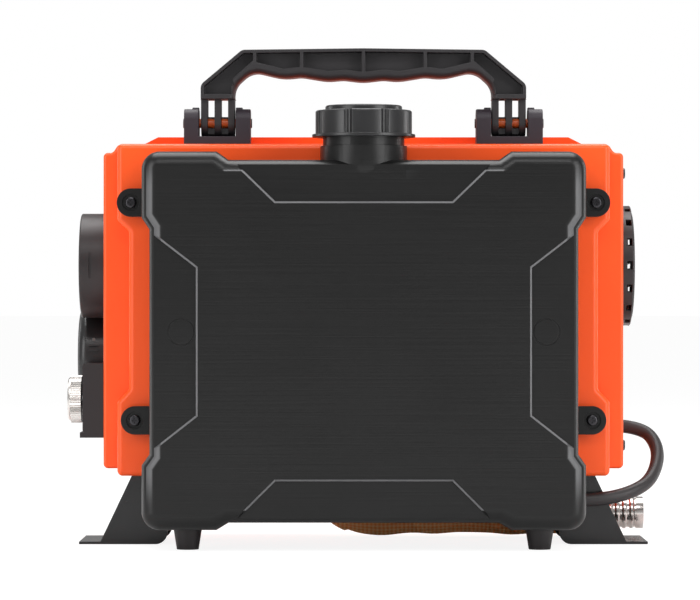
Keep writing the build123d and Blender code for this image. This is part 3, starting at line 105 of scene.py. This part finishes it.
class Finish:
    """A material with one Principled shader; what varies over the piece is joined to it."""

    def __init__(self, name, colour, roughness, **fixed):
        self.material = bpy.data.materials.new(name)
        self.material.use_nodes = True
        tree = self.material.node_tree
        self.shader = tree.nodes["Principled BSDF"]
        self.shader.inputs["Base Color"].default_value = colour
        self.shader.inputs["Roughness"].default_value = roughness
        for socket, value in fixed.items():
            self.shader.inputs[socket.replace("_", " ")].default_value = value
        self.start = Value(tree, None)
        self.place = self.start.node("ShaderNodeTexCoord", output="Object")

    def stretched(self, x, y, z):
        """The piece's own coordinates, scaled along each axis."""
        return self.place.node("ShaderNodeMapping", None, {"Vector": self.place, "Scale": (x, y, z)})

    def axes(self):
        """The piece's own x, y and z, one value each."""
        split, names = "ShaderNodeSeparateXYZ", {"Vector": self.place}
        return [self.place.node(split, None, names, axis) for axis in "XYZ"]

    def noise(self, scale, detail=2.0, roughness=0.5, place=None):
        names = {"Vector": place or self.place, "Scale": scale, "Detail": detail, "Roughness": roughness}
        return self.place.node("ShaderNodeTexNoise", None, names)

    def join(self, socket, value):
        self.start.tree.links.new(value.socket, self.shader.inputs[socket])

    def bump(self, height, distance, strength=1.0):
        names = {"Height": height, "Distance": distance, "Strength": strength}
        self.join("Normal", self.place.node("ShaderNodeBump", None, names))

    def cover(self, *pieces):
        """Puts the finish on new pieces or on CAD pieces, which are given by name."""
        for piece in pieces:
            piece = cad[piece] if isinstance(piece, str) else piece
            piece.data.materials.clear()
            piece.data.materials.append(self.material)


def srgb(red, green, blue):
    """A screen colour, 0 to 255, as the light it stands for."""
    levels = [c / 255 / 12.92 if c < 11 else ((c / 255 + 0.055) / 1.055) ** 2.4 for c in (red, green, blue)]
    return (*levels, 1)


hose_route = [
    (0.18315, 0.0320, 0.087),
    (0.21415, 0.0320, 0.087),
    (0.22715, 0.0160, 0.070),
    (0.22015, -0.0080, 0.048),
    (0.20215, -0.0240, 0.038),
    (0.17515, -0.0315, 0.033),
    (0.14715, -0.0315, 0.033),
]
curve = bpy.data.curves.new("fuel_line", "CURVE")
curve.dimensions = "3D"
curve.bevel_depth = 0.005
curve.bevel_resolution = 6
curve.resolution_u = 16
curve.use_fill_caps = True
line = curve.splines.new("NURBS")
line.points.add(len(hose_route) - 1)
for point, place in zip(line.points, hose_route):
    point.co = (*place, 1)
line.order_u = 3
line.use_endpoint_u = True
hose = bpy.data.objects.new("fuel_line", curve)
bpy.context.scene.collection.objects.link(hose)
rubber = Finish("hose_rubber", srgb(42, 38, 39), 0.42, Specular_IOR_Level=0.45)
rubber.join("Roughness", 0.36 + 0.16 * rubber.noise(160, 3))
rubber.bump(rubber.noise(2200, 2), 0.00006)
rubber.cover(hose)
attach(hose, "root")
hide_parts("fuel_hose")


# Studio: a pale floor and a white surround. A broad soft light stands before the heater on
# each side, one hangs over it and one high in front, and two faint ones draw its outer edges.
def softbox(name, place, size, power):
    lamp = bpy.data.lights.new(name, "AREA")
    lamp.shape = "RECTANGLE"
    lamp.size, lamp.size_y = size
    lamp.energy = power
    box = bpy.data.objects.new(name, lamp)
    box.location = place
    box.rotation_euler = (Vector((0, 0, 0.18)) - Vector(place)).to_track_quat("-Z", "Y").to_euler()
    bpy.context.scene.collection.objects.link(box)


softbox("right_light", (1.9, -1.7, 0.9), (1.3, 2.2), 36)
softbox("left_light", (-1.9, -1.7, 0.8), (1.2, 2.2), 28)
softbox("top_light", (0.0, 0.4, 2.0), (1.9, 1.4), 44)
softbox("front_light", (0.0, -2.4, 2.4), (1.6, 0.8), 20)
softbox("right_edge_light", (1.9, 1.1, 0.4), (0.4, 1.6), 8)
softbox("left_edge_light", (-1.9, 1.1, 0.4), (0.4, 1.6), 6)

world = bpy.data.worlds.new("surround")
world.use_nodes = True
bpy.context.scene.world = world
surround = Value(world.node_tree, None)
seen = surround.node("ShaderNodeLightPath", output="Is Camera Ray")
mirrored = surround.node("ShaderNodeLightPath", output="Is Glossy Ray")
through = surround.node("ShaderNodeLightPath", output="Is Transmission Ray")
level = 0.38 + 0.62 * (seen + through) + 0.06 * mirrored
background = world.node_tree.nodes["Background"]
background.inputs["Color"].default_value = (1, 1, 1, 1)
world.node_tree.links.new(level.socket, background.inputs["Strength"])

shape = bmesh.new()
bmesh.ops.create_grid(shape, x_segments=1, y_segments=1, size=40)
floor = bpy.data.objects.new("floor", bpy.data.meshes.new("floor"))
shape.to_mesh(floor.data)
shape.free()
bpy.context.scene.collection.objects.link(floor)
pale = bpy.data.materials.new("floor_pale")
pale.use_nodes = True
pale.node_tree.nodes.remove(pale.node_tree.nodes["Principled BSDF"])
ground = Value(pale.node_tree, None)
matte = ground.node("ShaderNodeBsdfDiffuse", None, {"Color": (0.9, 0.9, 0.9, 1)})
glow = ground.node("ShaderNodeEmission", None, {"Color": (1, 1, 1, 1), "Strength": 1.22})
looked_at = ground.node("ShaderNodeLightPath", output="Is Camera Ray")
both = ground.node("ShaderNodeMixShader", None, {0: 0.72 * looked_at, 1: matte, 2: glow})
pale.node_tree.links.new(both.socket, pale.node_tree.nodes["Material Output"].inputs["Surface"])
floor.data.materials.append(pale)
bpy.context.scene.view_settings.view_transform = "Standard"


# Case: two shells of orange moulded plastic, the deep front one and the shallow rear one,
# screwed together through four posts. The skin is satin with a very fine grain.
orange = Finish("case_orange", srgb(250, 86, 22), 0.34, Specular_IOR_Level=0.4)
mottle = orange.noise(9, 3)
orange.join("Base Color", mottle.blend(srgb(250, 80, 16), srgb(255, 92, 26)))
orange.join("Roughness", 0.29 + 0.1 * orange.noise(60, 2))
orange.bump(orange.noise(1800, 2), 0.00002)
orange.cover("front_shell", "rear_shell")


# Fuel tank: blow-moulded black polyethylene, a raised cross between four sunk fields, with
# fine level drag lines. A paler colour on the rims of the fields and down the sides stands
# in for the soft highlights that these catch; it is not wear.
def eased(node, body, width, steps=None):
    """A copy of a CAD piece whose sharp edges are eased, as a mould or a press leaves them."""
    shape = bmesh.new()
    shape.from_mesh(cad[node].data)
    bmesh.ops.remove_doubles(shape, verts=shape.verts, dist=0.000002)
    if steps:
        rims = [edge for edge in shape.edges if edge.calc_face_angle(0) > 0.6 and steps(edge)]
        bmesh.ops.bevel(shape, geom=rims, offset=0.0013, offset_type="OFFSET", segments=3, profile=0.5,
                        affect="EDGES", clamp_overlap=True, material=-1)
    else:
        bmesh.ops.dissolve_limit(shape, angle_limit=0.01, verts=shape.verts, edges=shape.edges)
    piece = bpy.data.objects.new(node + "_eased", bpy.data.meshes.new(node + "_eased"))
    shape.to_mesh(piece.data)
    shape.free()
    piece.data.polygons.foreach_set("use_smooth", [True] * len(piece.data.polygons))
    bpy.context.scene.collection.objects.link(piece)
    ease = piece.modifiers.new("ease", "BEVEL")
    ease.width = width
    ease.segments = 2
    ease.limit_method = "ANGLE"
    ease.angle_limit = math.radians(38)
    ease.use_clamp_overlap = False
    ease.harden_normals = True
    piece.modifiers.new("even", "WEIGHTED_NORMAL").keep_sharp = True
    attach(piece, body)
    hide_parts(node)
    return piece


tank_black = Finish("tank_black", srgb(24, 24, 24), 0.32, Specular_IOR_Level=0.3)
streak = tank_black.noise(1.0, 4, 0.6, tank_black.stretched(7, 9, 700))
cloud = tank_black.noise(14, 3)
across, face, height = tank_black.axes()
half = across.math("ABSOLUTE", across - MIDDLE_X)
edge = half.smooth(0.1462, 0.1466)
field = (1 - edge) * height.smooth(0.03, 0.0305) * (1 - height.smooth(0.2755, 0.276))
beside_neck = half.math("MAXIMUM", half.smooth(0.03, 0.031), 1 - height.smooth(0.268, 0.27))
side = 0.42 * (edge * height.smooth(0.03, 0.06) * (1 - height.smooth(0.262, 0.285)))
step_wall = face.smooth(-0.1173, -0.1169) * (1 - face.smooth(-0.1149, -0.1146))
rim = step_wall * (0.85 * (field * beside_neck) + side)
black = (0.5 * streak + 0.5 * cloud).blend(srgb(11, 11, 11), srgb(28, 28, 28))
tank_black.join("Base Color", rim.blend(black, srgb(132, 132, 134)))
tank_black.join("Roughness", 0.25 + 0.12 * streak)
tank_black.bump(streak, 0.00012)


def on_tank_step(rim_edge):
    """True on the rims of the sunk fields, but not on the two round marks."""
    x, y, z = (rim_edge.verts[0].co + rim_edge.verts[1].co) / 2
    from_mark = math.hypot(abs(x - MIDDLE_X) - 0.1316, z - 0.159)
    return y < -0.1125 and from_mark > 0.012


tank_black.cover(eased("fuel_tank", "root", 0.00025, on_tank_step))


# Filler cap: a black screw cap with eight grip grooves, moulded glossier than the tank.
# The edges of its grooves and flange are eased, so they catch the light as thin lines.
cap = eased("filler_cap", "cap", 0.0004)
cap_black = Finish("cap_black", srgb(30, 30, 31), 0.27, Specular_IOR_Level=0.5)
cap_black.join("Roughness", 0.24 + 0.12 * cap_black.noise(90, 3))
cap_black.bump(cap_black.noise(900, 2), 0.00002)
cap_black.cover(cap, "display_pod")


# Carry handle: black glass-filled nylon, ribbed inside, on two orange pins. It folds
# towards the front of the case, and its edges are softly rounded by the mould.
handle_black = Finish("handle_black", srgb(42, 40, 42), 0.45, Specular_IOR_Level=0.4)
handle_black.join("Roughness", 0.4 + 0.14 * handle_black.noise(120, 3))
handle_black.bump(handle_black.noise(1500, 2), 0.00003)
handle_black.cover(eased("handle", "handle", 0.0005))

pin_orange = Finish("pivot_orange", srgb(240, 84, 26), 0.35)
reach = pin_orange.axes()[0]
half = reach.math("ABSOLUTE", reach - MIDDLE_X)
outside = half.smooth(0.1336, 0.1339) + (1 - half.smooth(0.0841, 0.0844))
pin_orange.join("Base Color", outside.blend(srgb(250, 112, 50), srgb(70, 66, 68)))
pin_orange.join("Roughness", 0.3 + 0.14 * pin_orange.noise(150, 2))
pin_orange.cover("handle_pins")


# Handle brackets: two forked brackets of the same black nylon, screwed to the case top.
# Their colour is painted a little more violet than the handle's, a painted reflection of the orange case
# that shines on them.
bracket_black = Finish("bracket_black", srgb(46, 39, 46), 0.48, Specular_IOR_Level=0.4)
bracket_black.join("Roughness", 0.42 + 0.14 * bracket_black.noise(130, 3))
bracket_black.bump(bracket_black.noise(1500, 2), 0.00003)
bracket_black.cover(eased("left_handle_bracket", "root", 0.0005))
bracket_black.cover(eased("right_handle_bracket", "root", 0.0005))


# Screws: black zinc-plated steel, domed heads with a cross recess on the tank's lugs,
# flat heads elsewhere, turned and plated glossy.
screw_black = Finish("screw_black", srgb(62, 61, 64), 0.24, Metallic=0.9)
screw_black.join("Roughness", 0.18 + 0.16 * screw_black.noise(500, 2))
screw_black.cover("tank_screws", "shell_screws", "bracket_screws", "leg_screws", "side_screws")


# Legs: two bent steel sheets with a gusset at each end, powder-coated black and screwed
# under the case. The coat has a fine orange peel and is thin on the pressed edges.
leg_paint = Finish("leg_paint", srgb(24, 24, 25), 0.32, Specular_IOR_Level=0.5)
leg_paint.join("Roughness", 0.2 + 0.1 * leg_paint.noise(200, 3))
leg_paint.bump(leg_paint.noise(1100, 3), 0.00003)
leg_paint.cover(eased("left_leg", "root", 0.0003))
leg_paint.cover(eased("right_leg", "root", 0.0003))


# Warm-air collar, intake grille, controller box and tank elbow: black-brown moulded
# plastic fittings, clipped or pushed into the case.
fitting_black = Finish("fitting_black", srgb(36, 30, 31), 0.4, Specular_IOR_Level=0.45)
fitting_black.join("Roughness", 0.35 + 0.14 * fitting_black.noise(120, 3))
fitting_black.bump(fitting_black.noise(1500, 2), 0.00003)
fitting_black.cover("outlet_collar", eased("intake_grille", "root", 0.0004))
fitting_black.cover("controller_box", "power_socket", "tank_outlet_elbow", "air_filter")


# Rubber pieces: the tank's two tapered feet, the cap's washer, the grommet, the seal
# between the shells, the inner feed line, the pump's mount and the cable's sleeve.
rubber.cover("tank_feet", "cap_gasket", "hose_grommet", "shell_gasket", "feed_line", "pump_mount")
rubber.cover("wiring_harness")


# Control knob: aluminium with a knurled rim, anodised silver, on the encoder's shaft.
# It is turned, so its sheen runs round it.
silver = Finish("knob_silver", srgb(214, 210, 206), 0.3, Metallic=1.0)
silver.join("Roughness", 0.27 + 0.06 * silver.noise(1, 2, 0.5, silver.stretched(1500, 40, 40)))
silver.cover("control_knob")


# Display pod's lens and the controller's lamp: a dark smoked disc and a small frosted dot.
glass = Finish("lens_glass", srgb(8, 8, 9), 0.06)
glass.join("Roughness", 0.05 + 0.03 * glass.noise(40, 2))
glass.cover("display_lens")
lamp_white = Finish("lamp_white", srgb(96, 94, 92), 0.35)
lamp_white.join("Roughness", 0.3 + 0.1 * lamp_white.noise(300, 2))
lamp_white.cover("status_lamp")


# Exhaust: a corrugated stainless pipe that leaves the heater through the floor, held by
# a clamp. It is bright, smooth between its ribs, and shows the orange case in them.
stainless = Finish("stainless", srgb(214, 208, 204), 0.14, Metallic=1.0)
stainless.join("Roughness", 0.16 + 0.08 * stainless.noise(25, 2))
stainless.cover("exhaust_pipe", "exhaust_riser", "exhaust_clamp", "burner_tube")


# Heat sleeve: golden brown fibreglass yarn, braided into a tube and pulled over the pipe,
# where it sits in soft lumps. Its yarns cross aslant, 15 of them round it each way.
SLEEVE_Y, SLEEVE_Z = 0.071, 0.0184  # centre line of the sleeve's level run
LONGEST_EDGE = 0.004
shape = bmesh.new()
shape.from_mesh(cad["exhaust_sleeve"].data)
bmesh.ops.remove_doubles(shape, verts=shape.verts, dist=0.000002)
for _ in range(5):
    long_edges = [edge for edge in shape.edges if edge.calc_length() > LONGEST_EDGE]
    if long_edges:
        bmesh.ops.subdivide_edges(shape, edges=long_edges, cuts=1)
        bmesh.ops.triangulate(shape, faces=shape.faces)
shape.normal_update()
for point in shape.verts:
    x, y, z = point.co
    outer = math.hypot(y - SLEEVE_Y, z - SLEEVE_Z) > 0.0145 or z > 0.036
    lump = 0.7 * noise.noise(Vector((x, y, z)) * 38) + 0.5 * math.sin(x * 95) * math.sin(x * 41 + 1)
    if outer:
        point.co += point.normal * (0.0026 * lump - 0.001)
sleeve = bpy.data.objects.new("braided_sleeve", bpy.data.meshes.new("braided_sleeve"))
shape.to_mesh(sleeve.data)
shape.free()
sleeve.data.polygons.foreach_set("use_smooth", [True] * len(sleeve.data.polygons))
bpy.context.scene.collection.objects.link(sleeve)
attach(sleeve, "root")
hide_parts("exhaust_sleeve")
weave = Finish("sleeve_weave", srgb(138, 84, 44), 0.8, Specular_IOR_Level=0.3)
along, depth, height = weave.axes()
YARNS, WEAVE_RATE = 15, 1000  # yarns round the sleeve, radians of weave to a metre along it
round_it = YARNS * along.math("ARCTAN2", height - SLEEVE_Z, SLEEVE_Y - depth)
right_hand = along.math("SINE", WEAVE_RATE * along + round_it)
left_hand = along.math("SINE", WEAVE_RATE * along - round_it)
crossing = 0.5 + 0.5 * (right_hand * left_hand)
fuzz = weave.noise(700, 3)
# Painted light: both colours are much paler than the yarn's golden brown, standing in for light that the
# sleeve lacks in the shade under the case.
weave.join("Base Color", (0.75 * crossing + 0.25 * fuzz).blend(srgb(240, 150, 66), srgb(255, 236, 180)))
weave.join("Roughness", 0.7 + 0.15 * fuzz)
weave.bump(crossing + 0.3 * fuzz, 0.0008)
weave.cover(sleeve)


# Bright steel pieces: the outlet's wire guard, the cradle, glow plug, motor, shafts,
# clips, pump and encoder, zinc-plated or turned.
steel = Finish("zinc_steel", srgb(180, 180, 182), 0.32, Metallic=1.0)
steel.join("Roughness", 0.26 + 0.2 * steel.noise(140, 3))
steel.cover("outlet_guard", "heater_cradle", "glow_plug", "fan_motor", "fan_shaft", "hose_clips")
steel.cover("fuel_pump", "encoder_body", "encoder_shaft")


# Heater unit inside the case: die-cast aluminium exchanger, blower and lower housing
# with a sand-grey skin, under a black plastic hood with its fan.
cast = Finish("cast_aluminium", srgb(176, 176, 178), 0.5, Metallic=1.0)
cast.join("Roughness", 0.44 + 0.14 * cast.noise(80, 3))
cast.bump(cast.noise(900, 3), 0.0001)
cast.cover("heater_lower_housing", "heat_exchanger", "blower_housing", "combustion_fan")
fitting_black.cover("heater_upper_housing", "main_fan", "control_unit", "overheat_sensor")
fitting_black.cover("fuel_filter", "delivery_line")
foam = Finish("foam_grey", srgb(70, 70, 72), 0.9)
foam.join("Base Color", foam.noise(500, 3).blend(srgb(52, 52, 54), srgb(90, 90, 92)))
foam.bump(foam.noise(700, 3), 0.0004)
foam.cover("intake_seal")


# Controller board: green laminate behind the knob, with a satin solder mask.
board = Finish("board_green", srgb(20, 70, 44), 0.5)
board.join("Roughness", 0.4 + 0.2 * board.noise(300, 2))
board.cover("controller_board")
